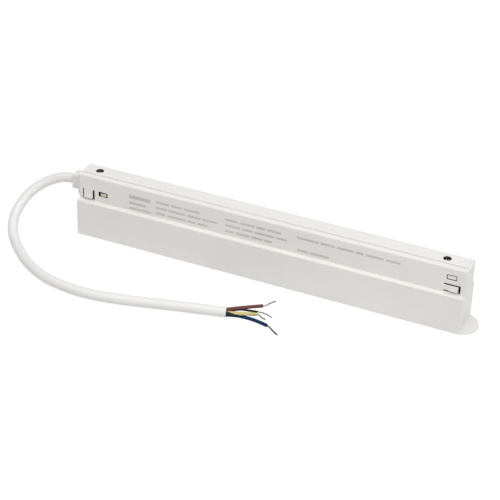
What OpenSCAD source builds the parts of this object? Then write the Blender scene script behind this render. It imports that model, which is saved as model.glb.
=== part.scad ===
// Power supply for a low-voltage lighting track, with a mains cable on its left end.
// X runs along the track, the front faces -Y, and the base lies on Z = 0.

/* [Housing] */
// Length of the housing along the track
body_length = 310.5; // [306:0.5:340]
// Width of the lower housing
lower_width = 27.4; // [27:0.2:31]
// Height of the lower housing, from its base to the ledge
lower_height = 30.4; // [29.4:0.2:31.4]
// Width of the upper housing, which enters the track
upper_width = 19; // [18.6:0.2:21]
// Height of the upper housing's shoulders above the base
shoulder_height = 51.2; // [50.6:0.2:56]
// Wall thickness of both housings
wall = 1.8; // [1.5:0.1:2]
// Thickness of the lower housing's floor
floor_thickness = 2; // [1.8:0.1:2.6]
// Thickness of the flange that closes the lower housing
flange_thickness = 2; // [1.6:0.1:2.4]
// Thickness of the lip on each side of the flange
lip = 0.9; // [0.7:0.1:1.1]
// Radius of the outer edges
edge_radius = 0.8; // [0.4:0.1:1.2]
// Width of the raised strip along the top
ridge_width = 10.2; // [9.6:0.2:12]
// Height of the raised strip
ridge_height = 1.1; // [0.8:0.1:1.4]

/* [Tab] */
// Distance that the half-round tab reaches past the right end
tab_reach = 10; // [6:0.2:13]
// Thickness of the tab
tab_thickness = 1.8; // [1.2:0.1:2.4]
// Radius of the tab's upper rim
tab_rim_radius = 0.5; // [0.2:0.1:0.8]

/* [Latches] */
// Height of the slots above and below the tongues
latch_slot = 1.1; // [0.9:0.1:1.3]
// Width of the slots beside the tongues' free edges
side_slot = 1.6; // [1.3:0.1:1.8]
// Thickness of the tongues, which are thinned from inside
tongue_thickness = 1.1; // [0.9:0.1:1.4]
// Height of the lowest slots above the ledge
latch_rise = 0.8; // [0.5:0.1:1.1]
// Distance from the left end to the hanging tongue's first slot
hanging_inset = 3.5; // [3:0.1:4]
// Width of the hanging tongue
hanging_width = 7.6; // [7:0.1:8]
// Height of the hanging tongue's slots
hanging_height = 8.6; // [8:0.1:10]
// Distance from the right end to the swinging tongue's free end
swinging_inset = 5.5; // [5:0.1:6.6]
// Length of the swinging tongue
swinging_length = 10.8; // [9:0.1:11.4]
// Height of the swinging tongue
swinging_height = 4.6; // [4.2:0.1:5.2]
// Height of the ramps on the tongues
ramp_height = 3.6; // [3:0.1:4]
// Distance that the ramps stand out
ramp_reach = 0.8; // [0.6:0.1:1.4]

/* [Contacts] */
// Length of each contact window
window_length = 7.7; // [7:0.1:8]
// Height of each contact window
window_height = 4; // [3.4:0.1:4.4]
// Radius of the windows' corners
window_radius = 0.6; // [0.3:0.1:0.9]
// Distance from the left end to the left windows
left_window_inset = 17; // [16.8:0.1:18]
// Height of the left windows' lower edge above the ledge
left_window_rise = 5.5; // [5:0.1:6.4]
// Distance from the right end to the right windows
right_window_inset = 7.2; // [6.4:0.1:7.6]
// Height of the right windows' lower edge above the ledge
right_window_rise = 11.2; // [10.6:0.1:11.8]
// Gap around the contacts and the blanking nubs in their windows
window_gap = 0.6; // [0.4:0.1:0.8]
// Thickness of the contact metal
contact_thickness = 0.5; // [0.3:0.1:0.8]
// Distance that the contacts stand out of the windows
contact_reach = 0.6; // [0.3:0.1:1]

/* [Cover screws] */
// Distance from the left end to the left screw
left_screw_inset = 13.4; // [12.8:0.1:13.6]
// Distance from the right end to the right screw
right_screw_inset = 18.4; // [18.2:0.1:20]
// Diameter of the screws' shanks
screw_diameter = 3; // [2.5:0.1:3.4]
// Length of the screws' shanks
screw_length = 14; // [10:0.5:18]
// Diameter of the screws' heads
screw_head_diameter = 5.6; // [5:0.1:5.8]
// Height of the screws' heads
screw_head_height = 2; // [1.6:0.1:2.4]
// Depth of the screw seats below the raised strip
seat_depth = 3.5; // [3.1:0.1:3.9]
// Thickness of the material under each screw head
seat_thickness = 2; // [1.6:0.1:2.4]
// Diameter of the bosses that take the screws
boss_diameter = 5.6; // [5.2:0.1:5.8]

/* [Strain relief] */
// Depth of the cable's centre below the shoulders, where it leaves the housing
relief_centre = 11.2; // [10.6:0.1:11.8]
// Length of the block outside the end plate
relief_length = 6.5; // [6.4:0.1:6.6]
// Width of the block
relief_width = 9.2; // [8.4:0.1:10]
// Height of the block
relief_height = 12.8; // [11:0.1:14]
// Radius of the block's edges
relief_radius = 1.4; // [0.6:0.1:2]
// Thickness of the end plate against the housing
plate_thickness = 2; // [1.9:0.1:2.1]
// Width of the end plate
plate_width = 14; // [12:0.2:15]
// Height of the end plate
plate_height = 17.4; // [15:0.2:18]
// Width of the neck in the end wall
neck_width = 9; // [8:0.2:10]
// Height of the neck in the end wall
neck_height = 10; // [8:0.2:11]

/* [Cable] */
// Diameter of the cable's sheath
cable_diameter = 7.8; // [7:0.1:8.4]
// Diameter of each power core
core_diameter = 2.6; // [2.3:0.1:2.8]
// Diameter of the thin control core
control_diameter = 1.7; // [1.4:0.1:2]
// Diameter of each bundle of bare strands
strand_diameter = 1.2; // [1:0.1:1.5]
// Diameter of the control core's bare strands
control_strand_diameter = 0.9; // [0.7:0.1:1.1]

/* [Board] */
// Thickness of the circuit board
board_thickness = 1.6; // [1.2:0.1:2]
// Height of the posts and ribs under the board
board_rise = 2.5; // [2.2:0.1:3]
// Gap between the board and the side walls
board_gap = 0.4; // [0.3:0.1:0.6]
// Diameter of the board screws' shanks
board_screw_diameter = 2.2; // [2:0.1:2.6]
// Length of the board screws' shanks
board_screw_length = 4.6; // [4:0.1:4.8]
// Diameter of the board screws' heads
board_screw_head = 4.4; // [4:0.1:5]
// Distance from the board's ends to its screws
board_screw_inset = 4.5; // [4:0.1:4.8]
// Gap between components that share a place along the board
component_gap = 2; // [1.5:0.1:2.6]

/* [Mains side] */
// Length of the mains terminal
terminal_length = 9; // [8:0.5:10]
// Height of both terminals
terminal_height = 9; // [8:0.5:10]
// Diameter of the fuse
fuse_diameter = 8.2; // [7:0.1:8.6]
// Height of the fuse
fuse_height = 7.8; // [6:0.1:9]
// Diameter of the varistor
varistor_diameter = 10; // [9:0.5:12]
// Thickness of the varistor
varistor_thickness = 4.2; // [3.5:0.1:5]
// Length of the line capacitor
line_capacitor_length = 16; // [13:0.5:18]
// Width of the line capacitor
line_capacitor_width = 9; // [7:0.5:12]
// Height of the line capacitor
line_capacitor_height = 15; // [12:0.5:18]
// Diameter of the filter choke's ring core
choke_diameter = 13; // [12:0.5:15]
// Height of the filter choke's ring core
choke_height = 6; // [5:0.5:8]
// Diameter of the suppression capacitors
disc_diameter = 7; // [6:0.5:9]
// Thickness of the suppression capacitors
disc_thickness = 3; // [2.5:0.1:4]

/* [Power stage] */
// Length of the heat spreader
spreader_length = 42; // [41:0.5:45]
// Height of the heat spreader
spreader_height = 18; // [17:0.5:20]
// Thickness of the heat spreader's sheet
spreader_thickness = 1.5; // [1.2:0.1:1.8]
// Length of the bridge rectifier
bridge_length = 14; // [12:0.5:15]
// Height of the bridge rectifier
bridge_height = 11; // [9:0.5:13]
// Length of each power transistor
transistor_length = 10; // [9:0.5:10.5]
// Height of each power transistor
transistor_height = 15; // [12:0.5:15.5]
// Thickness of the rectifier and the transistors
device_thickness = 4.4; // [3.6:0.1:4.6]
// Length of the boost inductor
boost_length = 18; // [16:0.5:20]
// Width of the boost inductor
boost_width = 12; // [11:0.5:13]
// Height of the boost inductor
boost_height = 17; // [15:0.5:19]
// Length of the control board
control_length = 18; // [14:0.5:20]
// Height of the control board
control_height = 14; // [12:0.5:18]
// Diameter of the bulk capacitors
bulk_diameter = 16; // [14:0.5:18]
// Length of each bulk capacitor
bulk_length = 24; // [22:0.5:26]

/* [Output side] */
// Length of the transformer
transformer_length = 26; // [24:0.5:29]
// Width of the transformer
transformer_width = 19; // [17:0.5:20]
// Height of the transformer
transformer_height = 18; // [16:0.5:19]
// Diameter of the output choke
output_choke_diameter = 11; // [9:0.5:11.5]
// Height of the output choke
output_choke_height = 13; // [10:0.5:16]
// Diameter of the output capacitors
output_capacitor_diameter = 9.5; // [8:0.5:10]
// Height of the output capacitors
output_capacitor_height = 17; // [14:0.5:20]
// Length of the output terminal
output_terminal_length = 8; // [7:0.5:9]

/* [Hidden] */
$fn = 64;

// Clearances
joint_gap = 0.1;
fit_gap = 0.3;
head_gap = 0.3;
overcut = 1;

// Housing
half_length = body_length / 2;
floor_half_width = lower_width / 2 - wall;
flange_bottom = lower_height - flange_thickness;
flange_width = lower_width - 2 * (lip + joint_gap);
shoulder_half_width = upper_width / 2;
bay_half_width = shoulder_half_width - wall;
roof = shoulder_height - wall;
top = shoulder_height + ridge_height;
rib_thickness = 1.4;
ridge_inset = 1.5;

// Cover screws, from the top down
left_screw_x = -half_length + left_screw_inset;
right_screw_x = half_length - right_screw_inset;
seat_level = top - seat_depth;
boss_top = seat_level - seat_thickness;
seat_diameter = screw_head_diameter + 2 * head_gap;
turret_wall = 1.1;
turret_diameter = seat_diameter + 2 * turret_wall;
screw_hole_diameter = screw_diameter + 2 * fit_gap;
pilot_depth = screw_length - seat_thickness + overcut;

// Latches and windows
latch_bottom = lower_height + latch_rise;
tongue_bottom = latch_bottom + latch_slot;
hanging_left = -half_length + hanging_inset;
narrow_slot = side_slot / 2;
tongue_left = hanging_left + narrow_slot;
swinging_right = half_length - swinging_inset;
swinging_left = swinging_right - swinging_length;
ramp_margin = 0.5;
left_window_left = -half_length + left_window_inset;
left_window_bottom = lower_height + left_window_rise;
right_window_left = half_length - right_window_inset - window_length;
right_window_bottom = lower_height + right_window_rise;
contact_height = window_height - 2 * window_gap;
contact_radius = window_length / 2 - window_gap;
contact_seat = shoulder_half_width + contact_reach - contact_radius;
block_half_width = bay_half_width - joint_gap;
block_margin = 2;
block_right = left_window_left + window_length + block_margin;

// Strain relief
relief_level = shoulder_height - relief_centre;
relief_face = -half_length - plate_thickness - relief_length;
relief_inner_face = -half_length + 2 * wall;

// Circuit board, between the two bosses
board_half_width = floor_half_width - board_gap;
board_bottom = floor_thickness + board_rise;
board_top = board_bottom + board_thickness;
board_left = left_screw_x + boss_diameter / 2 + fit_gap;
board_right = right_screw_x - boss_diameter / 2 - fit_gap;
board_screw_edge = 4.5;
board_screw_y = board_half_width - board_screw_edge;
board_post_wall = 1.6;
board_post_diameter = board_screw_diameter + 2 * board_post_wall;
board_pilot_depth = board_screw_length - board_thickness + fit_gap;

// Rows of components, spread evenly along the board from the mains end
winding_thickness = 1.2;
bulk_gap = 1.5;
smoothing_gap = 1;
rectifier_length = 10;
ROWS = [
    "terminal", "fuse", "line", "choke", "disc", "cooled", "bulk", "transformer", "rectifier",
    "smoothing", "outlet"
];
row_lengths = [
    terminal_length,
    max(fuse_diameter, varistor_diameter),
    line_capacitor_length,
    choke_diameter + 2 * winding_thickness,
    disc_diameter,
    spreader_length,
    2 * bulk_length + bulk_gap,
    transformer_length,
    max(output_choke_diameter, rectifier_length),
    2 * output_capacitor_diameter + smoothing_gap,
    output_terminal_length
];
row_margin = 0.5;
first_row = board_left + 2 * board_screw_inset + row_margin;
row_room = board_right - 2 * board_screw_inset - row_margin - first_row;
row_gap = (row_room - sum_before(len(ROWS))) / (len(ROWS) - 1);

function sum_before(index) = index == 0 ? 0 : sum_before(index - 1) + row_lengths[index - 1];
function row_index(row) = search([row], ROWS)[0];
function row_start(row) = first_row + sum_before(row_index(row)) + row_index(row) * row_gap;
function row_middle(row) = row_start(row) + row_lengths[row_index(row)] / 2;

// Cooled parts, along the back edge of the board
spreader_edge = 0.2;
spreader_back = board_half_width - spreader_edge;
spreader_front = spreader_back - spreader_thickness;
foot_margin = 0.6;
spreader_foot = device_thickness + foot_margin;
device_gap = 2;
device_base = board_top + spreader_thickness;
front_margin = 0.4;

// Components
side_place = 5.5;
choke_bore = choke_diameter * 0.52;
yoke = 3;
leg = 2.6;
boost_x = row_start("cooled") + boost_length / 2;
boost_y = -board_half_width + front_margin + boost_width / 2;
output_choke_y = -board_half_width + front_margin + output_choke_diameter / 2;
rectifier_gap = 0.6;
rectifier_room = board_half_width - rectifier_gap - output_choke_y - output_choke_diameter / 2;
rectifier_width = (rectifier_room - 2 * rectifier_gap) / 2;

// Leads inside the housing
lead_diameter = 2.4;
lead_gap = 0.5;
lead_pitch = lead_diameter + lead_gap;
lead_beside = boss_diameter / 2 + lead_gap + lead_diameter / 2;
output_lead_diameter = 1.8;
port_height = board_top + terminal_height / 2;
output_lead_height = lower_height + 6;
output_lead_y = 2.5;
mains_pitch = 5;
output_pitch = 2 * output_lead_y;

// Routes of the cable and its cores: X is counted from the strain relief's face, Y and Z from the
// origin, and a point that is lower than the tube's radius lies on the ground
cable_start = [[0, 0, relief_level], [-1, 0, relief_level]];
cable_points = [
    [-13.5, -1.5, 38], [-22.5, -5, 34], [-28.5, -9.5, 30], [-34, -17.5, 24], [-36, -26.5, 18],
    [-35, -35.5, 13], [-31, -44, 8.5], [-23, -53.5, 5], [-13.5, -62.5, 4], [-1, -73, 0], [8, -78.5, 0],
    [20.5, -84.5, 0], [32, -87.5, 0], [46.5, -89.5, 0], [59.5, -89.5, 0], [75, -87.5, 0], [89, -84.5, 0],
    [102.5, -81, 0], [117.5, -77, 0], [131, -73.5, 0], [145.5, -70, 0], [159.5, -66.5, 0]
];
live_points = [[168, -59.5, 6], [174.5, -55, 6.4], [181, -51, 6.6]];
control_points = [[167.5, -59, 3.4], [172.5, -57, 3], [179, -54.5, 2.6]];
neutral_points = [[167, -63.5, 1.6], [175, -63.5, 0], [183.5, -64, 0], [191, -66, 0]];
earth_points = [[170, -64.5, 4.6], [175, -62, 4.2], [180, -59, 3.6]];
live_strand_points = [[184.5, -46, 6.4], [187.5, -40.5, 6]];
control_strand_points = [[184.5, -53.5, 2.2], [190.5, -55, 1.4]];
neutral_strand_points = [[196.5, -68.5, 1.2], [203, -73, 0.8]];
earth_strand_points = [[183.5, -60, 2.8], [187.5, -59.5, 1.6]];

function from_relief(points, radius) =
    [for (point = points) [point[0] + relief_face, point[1], max(point[2], radius)]];

cable_route = from_relief(concat(cable_start, cable_points), cable_diameter / 2);

// The cores leave the end of the sheath a quarter turn apart, the live core near the top
sheath_end = cable_route[len(cable_route) - 1];
sheath_along = unit(sheath_end - cable_route[len(cable_route) - 2]);
sheath_across = cross([0, 0, 1], sheath_along);
core_straight = core_diameter / 2 * sheath_along;
core_ring = 0.72 * core_diameter;
core_lean = 12;

function core_place(quarter) =
    let (turn = core_lean + 90 * quarter)
    sheath_end + core_ring * (sin(turn) * sheath_across + cos(turn) * [0, 0, 1]);

function core_route(quarter, points) =
    let (start = core_place(quarter))
    concat([start, start + core_straight], from_relief(points, core_diameter / 2));

live_route = core_route(0, live_points);
control_route = core_route(1, control_points);
neutral_route = core_route(2, neutral_points);
earth_route = core_route(3, earth_points);

WHITE = [0.93, 0.93, 0.91];
BRASS = [0.78, 0.68, 0.45];
STEEL = [0.45, 0.45, 0.46];
COPPER = [0.72, 0.45, 0.2];
FERRITE = [0.25, 0.25, 0.27];
EPOXY = [0.12, 0.12, 0.13];
BOARD_GREEN = [0.1, 0.4, 0.2];
TERMINAL_GREEN = [0.2, 0.5, 0.3];
CAN_SLEEVE = [0.15, 0.15, 0.2];
LIVE_BROWN = [0.4, 0.22, 0.15];
NEUTRAL_BLUE = [0.1, 0.2, 0.4];
EARTH_YELLOW = [0.7, 0.68, 0.3];
CONTROL_BLACK = [0.12, 0.1, 0.08];

function unit(v) = v / norm(v);

// Direction of a route at one of its points
function along_route(route, i) = unit(route[min(i + 1, len(route) - 1)] - route[max(i - 1, 0)]);

// Points of one ring around a route, starting on the side that the reference direction gives
function ring(centre, along, reference, radius, sides) =
    let (across = unit(reference - (reference * along) * along), over = cross(along, across))
    [
        for (k = [0 : sides - 1])
            let (turn = 360 * k / sides)
            centre + radius * (cos(turn) * across + sin(turn) * over)
    ];

// Tube along a route, closed by flat ends
module swept_tube(route, diameter, sides, reference) {
    last = len(route) - 1;
    points = [
        for (i = [0 : last]) each ring(route[i], along_route(route, i), reference, diameter / 2, sides)
    ];
    walls = [
        for (i = [0 : last - 1], k = [0 : sides - 1])
            let (next = (k + 1) % sides)
            [i * sides + k, (i + 1) * sides + k, (i + 1) * sides + next, i * sides + next]
    ];
    start_cap = [[for (k = [0 : sides - 1]) k]];
    end_cap = [[for (k = [sides - 1 : -1 : 0]) last * sides + k]];
    polyhedron(points, concat(start_cap, walls, end_cap), convexity = 10);
}

// Rectangle with round corners, centred on both axes
module rounded_rect(width, height, radius) {
    square([width - 2 * radius, height], center = true);
    square([width, height - 2 * radius], center = true);
    for (x = [-1, 1], y = [-1, 1])
        translate([x * (width / 2 - radius), y * (height / 2 - radius)])
            circle(radius);
}

// Block that is centred across X and Y and stands on the given level
module standing_block(x, y, level, length, width, height) {
    translate([x - length / 2, y - width / 2, level])
        cube([length, width, height]);
}

// Long bar along X with round long edges and round corners in plan
module rounded_bar(length, width, bottom, height, radius) {
    intersection() {
        translate([0, 0, bottom + height / 2])
            rotate([90, 0, 90])
                linear_extrude(length, center = true)
                    rounded_rect(width, height, radius);
        translate([0, 0, bottom - overcut])
            linear_extrude(height + 2 * overcut)
                rounded_rect(length, width, radius);
    }
}

// Cut through both side walls of the upper housing
module wall_cut(left, right, bottom, height) {
    translate([left, -shoulder_half_width - overcut, bottom])
        cube([right - left, upper_width + 2 * overcut, height]);
}

// Shallow cut into the inside of both side walls, behind a tongue and its slots
module wall_thinning(left, right, bottom, height) {
    half_width = shoulder_half_width - tongue_thickness;
    translate([left, -half_width, bottom])
        cube([right - left, 2 * half_width, height]);
}

module window_cut(left, bottom) {
    translate([left + window_length / 2, 0, bottom + window_height / 2])
        rotate([90, 0, 0])
            linear_extrude(upper_width + 2 * overcut, center = true)
                rounded_rect(window_length, window_height, window_radius);
}

// Wedge on the outside of both walls, sloping out from its top to a flat catch below
module ramp(left, right) {
    root = wall / 2;
    for (side = [0, 1])
        mirror([0, side, 0])
            translate([left, 0, tongue_bottom])
                rotate([90, 0, 90])
                    linear_extrude(right - left)
                        polygon([
                            [-shoulder_half_width + root, 0],
                            [-shoulder_half_width - ramp_reach, 0],
                            [-shoulder_half_width, ramp_height],
                            [-shoulder_half_width + root, ramp_height]
                        ]);
}

module hanging_latch_cuts() {
    right = tongue_left + hanging_width;
    wall_cut(hanging_left, tongue_left, latch_bottom, hanging_height);
    wall_cut(right, right + side_slot, latch_bottom, hanging_height);
    wall_cut(hanging_left, right + side_slot, latch_bottom, latch_slot);
    wall_thinning(hanging_left, right + side_slot, latch_bottom, hanging_height);
}

module swinging_latch_cuts() {
    right = swinging_right + side_slot;
    height = swinging_height + 2 * latch_slot;
    wall_cut(swinging_left, right, latch_bottom, latch_slot);
    wall_cut(swinging_left, right, tongue_bottom + swinging_height, latch_slot);
    wall_cut(swinging_right, right, latch_bottom, height);
    wall_thinning(swinging_left, right, latch_bottom, height);
}

// Lower housing

module tab() {
    disc_centre = half_length + tab_reach - lower_width / 2;
    intersection() {
        translate([disc_centre, 0, 0])
            rotate_extrude()
                tab_section();
        translate([half_length - wall, -lower_width, -overcut])
            cube([lower_width, 2 * lower_width, tab_thickness + 2 * overcut]);
    }
}

module tab_section() {
    square([lower_width / 2 - tab_rim_radius, tab_thickness]);
    square([lower_width / 2, tab_thickness - tab_rim_radius]);
    translate([lower_width / 2 - tab_rim_radius, tab_thickness - tab_rim_radius])
        circle(tab_rim_radius);
}

module cover_boss(x, end) {
    gusset_height = 0.4 * boss_top;
    gusset_length = abs(end - x) - wall / 2;
    translate([x, 0, floor_thickness / 2])
        cylinder(d = boss_diameter, h = boss_top - floor_thickness / 2);
    standing_block((x + end) / 2, 0, floor_thickness / 2, gusset_length, rib_thickness, gusset_height);
}

module board_supports() {
    rib_count = 4;
    rib_pitch = (board_right - board_left) / (rib_count + 1);
    for (i = [1 : rib_count])
        standing_block(
            board_left + i * rib_pitch, 0, floor_thickness / 2,
            rib_thickness, lower_width - wall, board_bottom - floor_thickness / 2
        );
    board_screw_places()
        translate([0, 0, floor_thickness / 2])
            cylinder(d = board_post_diameter, h = board_bottom - floor_thickness / 2);
}

module board_screw_places() {
    left = board_left + board_screw_inset;
    right = board_right - board_screw_inset;
    for (x = [left, right], y = [-board_screw_y, board_screw_y])
        translate([x, y, 0])
            children();
}

module relief_upstand() {
    upstand_top = relief_level - neck_height / 2 - joint_gap;
    base = flange_bottom - wall;
    standing_block(-half_length + wall / 2, 0, base, wall, neck_width, upstand_top - base);
}

module lower_housing() {
    color(WHITE)
        difference() {
            union() {
                difference() {
                    rounded_bar(body_length, lower_width, 0, lower_height, edge_radius);
                    translate([-half_length + wall, -floor_half_width, floor_thickness])
                        cube([body_length - 2 * wall, 2 * floor_half_width, lower_height]);
                    translate([-half_length - overcut, -lower_width / 2 + lip, flange_bottom])
                        cube([body_length + 2 * overcut, lower_width - 2 * lip, lower_height]);
                }
                tab();
                cover_boss(left_screw_x, -half_length);
                cover_boss(right_screw_x, half_length);
                board_supports();
                relief_upstand();
            }
            for (x = [left_screw_x, right_screw_x])
                translate([x, 0, boss_top - pilot_depth])
                    cylinder(d = screw_diameter + 2 * joint_gap, h = pilot_depth + overcut);
            board_screw_places()
                translate([0, 0, board_bottom - board_pilot_depth])
                    cylinder(d = board_screw_diameter + 2 * joint_gap, h = board_pilot_depth + overcut);
        }
}

// Upper housing

module upper_shell() {
    hat_bottom = flange_bottom - overcut;
    difference() {
        union() {
            rounded_bar(body_length, upper_width, hat_bottom, shoulder_height - hat_bottom, edge_radius);
            translate([-half_length, -flange_width / 2, flange_bottom])
                cube([body_length, flange_width, flange_thickness]);
            rounded_bar(body_length - 2 * ridge_inset, ridge_width, roof, top - roof, ridge_height / 2);
        }
        translate([-half_length + wall, -bay_half_width, flange_bottom - 2 * overcut])
            cube([body_length - 2 * wall, 2 * bay_half_width, roof - flange_bottom + 2 * overcut]);
        translate([-half_length - overcut, -lower_width / 2, flange_bottom - 2 * overcut])
            cube([body_length + 2 * overcut, lower_width, 2 * overcut]);
    }
}

module roof_ribs() {
    rib_depth = 2.5;
    rib_count = 8;
    first = block_right + rib_thickness;
    last = right_screw_x - turret_diameter / 2 - rib_thickness;
    for (i = [0 : rib_count])
        standing_block(
            first + i * (last - first) / rib_count, 0, roof - rib_depth,
            rib_thickness, upper_width - wall, rib_depth + wall / 2
        );
}

module upper_housing() {
    color(WHITE)
        difference() {
            union() {
                upper_shell();
                roof_ribs();
                for (x = [left_screw_x, right_screw_x])
                    translate([x, 0, boss_top])
                        cylinder(d = turret_diameter, h = roof - boss_top + wall / 2);
                ramp(tongue_left + ramp_margin, tongue_left + hanging_width - ramp_margin);
                ramp(swinging_left + swinging_length / 3, swinging_right - ramp_margin);
            }
            hanging_latch_cuts();
            swinging_latch_cuts();
            window_cut(left_window_left, left_window_bottom);
            window_cut(right_window_left, right_window_bottom);
            for (x = [left_screw_x, right_screw_x]) {
                translate([x, 0, seat_level])
                    cylinder(d = seat_diameter, h = seat_depth + overcut);
                translate([x, 0, boss_top - overcut])
                    cylinder(d = screw_hole_diameter, h = seat_thickness + 2 * overcut);
            }
            relief_slot();
        }
}

// Slot in the left end wall, open below, that takes the strain relief's neck
module relief_slot() {
    slot_top = relief_level + neck_height / 2 + joint_gap;
    bottom = flange_bottom - overcut;
    standing_block(
        -half_length, 0, bottom,
        2 * wall + 2 * joint_gap, neck_width + 2 * joint_gap, slot_top - bottom
    );
}

module cover_screws() {
    recess_width = screw_diameter / 4;
    recess_length = screw_head_diameter * 0.55;
    recess_depth = screw_head_height / 2;
    color(STEEL)
        for (x = [left_screw_x, right_screw_x])
            translate([x, 0, seat_level])
                difference() {
                    union() {
                        cylinder(d = screw_head_diameter, h = screw_head_height);
                        translate([0, 0, -screw_length])
                            cylinder(d = screw_diameter, h = screw_length + screw_head_height / 2);
                    }
                    for (turn = [0, 90])
                        rotate(turn)
                            standing_block(
                                0, 0, screw_head_height - recess_depth,
                                recess_length, recess_width, recess_depth + overcut
                            );
                }
}

// Strain relief and contacts

module strain_relief() {
    color(WHITE) {
        intersection() {
            translate([relief_face, 0, relief_level])
                rotate([90, 0, 90])
                    linear_extrude(relief_length + plate_thickness)
                        rounded_rect(relief_width, relief_height, relief_radius);
            translate([relief_face + relief_length, 0, relief_level])
                rotate([90, 0, 0])
                    linear_extrude(relief_width + 2 * overcut, center = true)
                        rounded_rect(2 * relief_length, relief_height, relief_radius);
        }
        translate([-half_length - plate_thickness, 0, relief_level])
            rotate([90, 0, 90])
                linear_extrude(plate_thickness)
                    rounded_rect(plate_width, plate_height, relief_radius);
        standing_block(
            -half_length + wall / 2, 0, relief_level - neck_height / 2,
            wall + 2 * joint_gap, neck_width, neck_height
        );
        translate([-half_length + wall, 0, relief_level])
            rotate([90, 0, 90])
                linear_extrude(wall)
                    rounded_rect(2 * (bay_half_width - fit_gap), neck_height + wall, relief_radius);
    }
}

// Half of a brass ring, bulging towards the front
module front_contact() {
    translate([left_window_left + window_length / 2, -contact_seat, left_window_bottom + window_gap])
        intersection() {
            difference() {
                cylinder(r = contact_radius, h = contact_height);
                translate([0, 0, -overcut])
                    cylinder(r = contact_radius - contact_thickness, h = contact_height + 2 * overcut);
            }
            translate([-window_length, -2 * contact_radius, -overcut])
                cube([2 * window_length, 2 * contact_radius, contact_height + 2 * overcut]);
        }
}

module output_contacts() {
    color(BRASS)
        for (side = [0, 1])
            mirror([0, side, 0])
                front_contact();
}

module contact_block() {
    left = left_screw_x + boss_diameter / 2 + fit_gap;
    stem_left = left_screw_x + turret_diameter / 2 + fit_gap;
    bottom = left_window_bottom - block_margin;
    shelf = left_window_bottom + window_height + block_margin;
    color(WHITE)
        difference() {
            union() {
                translate([left, -block_half_width, bottom])
                    cube([block_right - left, 2 * block_half_width, shelf - bottom]);
                translate([stem_left, -block_half_width, bottom])
                    cube([block_right - stem_left, 2 * block_half_width, roof - bottom]);
            }
            for (side = [0, 1])
                mirror([0, side, 0])
                    translate([left_window_left, -block_half_width - overcut, left_window_bottom])
                        cube([window_length, block_half_width + overcut - contact_seat, window_height]);
        }
}

module blanking_block() {
    nub_recess = 0.1;
    left = right_screw_x + turret_diameter / 2 + fit_gap;
    right = right_window_left + window_length - window_gap;
    nub_length = window_length - 2 * window_gap;
    nub_height = window_height - 2 * window_gap;
    nub_width = 2 * (shoulder_half_width - nub_recess);
    color(WHITE) {
        translate([left, -block_half_width, right_window_bottom - overcut])
            cube([right - left, 2 * block_half_width, roof - right_window_bottom + overcut]);
        translate([right_window_left + window_length / 2, 0, right_window_bottom + window_height / 2])
            rotate([90, 0, 0])
                linear_extrude(nub_width, center = true)
                    rounded_rect(nub_length, nub_height, window_radius / 2);
    }
}

// Cable and cores

module mains_cable() {
    color(WHITE)
        swept_tube(cable_route, cable_diameter, 12, [0, 0, 1]);
}

module core(route, diameter, tint) {
    color(tint)
        swept_tube(route, diameter, 8, [0, 0, 1]);
}

// Bare strands that carry on from the end of a core
module strands(route, diameter, points) {
    last = len(route) - 1;
    straight = diameter * unit(route[last] - route[last - 1]);
    strand_route = concat([route[last], route[last] + straight], from_relief(points, diameter / 2));
    color(STEEL)
        swept_tube(strand_route, diameter, 8, [0, 0, 1]);
}

module live_core() {
    core(live_route, core_diameter, LIVE_BROWN);
}

module control_core() {
    core(control_route, control_diameter, CONTROL_BLACK);
}

module neutral_core() {
    core(neutral_route, core_diameter, NEUTRAL_BLUE);
}

module earth_core() {
    core(earth_route, core_diameter, EARTH_YELLOW);
}

module live_strands() {
    strands(live_route, strand_diameter, live_strand_points);
}

module control_strands() {
    strands(control_route, control_strand_diameter, control_strand_points);
}

module neutral_strands() {
    strands(neutral_route, strand_diameter, neutral_strand_points);
}

module earth_strands() {
    strands(earth_route, strand_diameter, earth_strand_points);
}

// Circuit board and what stands on it

module circuit_board() {
    color(BOARD_GREEN)
        difference() {
            translate([board_left, -board_half_width, board_bottom])
                cube([board_right - board_left, 2 * board_half_width, board_thickness]);
            board_screw_places()
                translate([0, 0, board_bottom - overcut])
                    cylinder(d = board_screw_diameter + 2 * fit_gap, h = board_thickness + 2 * overcut);
        }
}

module board_screws() {
    head_height = 1.6;
    color(STEEL)
        board_screw_places() {
            translate([0, 0, board_top])
                cylinder(d = board_screw_head, h = head_height);
            translate([0, 0, board_top - board_screw_length])
                cylinder(d = board_screw_diameter, h = board_screw_length + head_height / 2);
        }
}

// Terminal block with a round screw recess over each port
module terminal_block(x, length, ports, pitch) {
    recess_depth = 1.2;
    width = ports * pitch;
    difference() {
        standing_block(x, 0, board_top, length, width, terminal_height);
        for (i = [0 : ports - 1])
            translate([x, (i - (ports - 1) / 2) * pitch, board_top + terminal_height - recess_depth])
                cylinder(d = pitch * 0.7, h = recess_depth + overcut);
    }
}

module mains_terminal() {
    color(TERMINAL_GREEN)
        terminal_block(row_middle("terminal"), terminal_length, 4, mains_pitch);
}

module output_terminal() {
    color(TERMINAL_GREEN)
        terminal_block(row_middle("outlet"), output_terminal_length, 2, output_pitch);
}

module fuse() {
    color([0.35, 0.2, 0.12])
        translate([row_middle("fuse"), side_place, board_top])
            cylinder(d = fuse_diameter, h = fuse_height);
}

// Round part that stands on its edge on the board
module standing_disc(x, y, diameter, thickness) {
    translate([x, y, board_top + diameter / 2])
        rotate([90, 0, 0])
            cylinder(d = diameter, h = thickness, center = true);
}

module varistor() {
    color([0.15, 0.3, 0.6])
        standing_disc(row_middle("fuse"), -side_place, varistor_diameter, varistor_thickness);
}

module suppression_capacitors() {
    color([0.2, 0.4, 0.7])
        for (y = [-side_place, side_place])
            standing_disc(row_middle("disc"), y, disc_diameter, disc_thickness);
}

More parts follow.
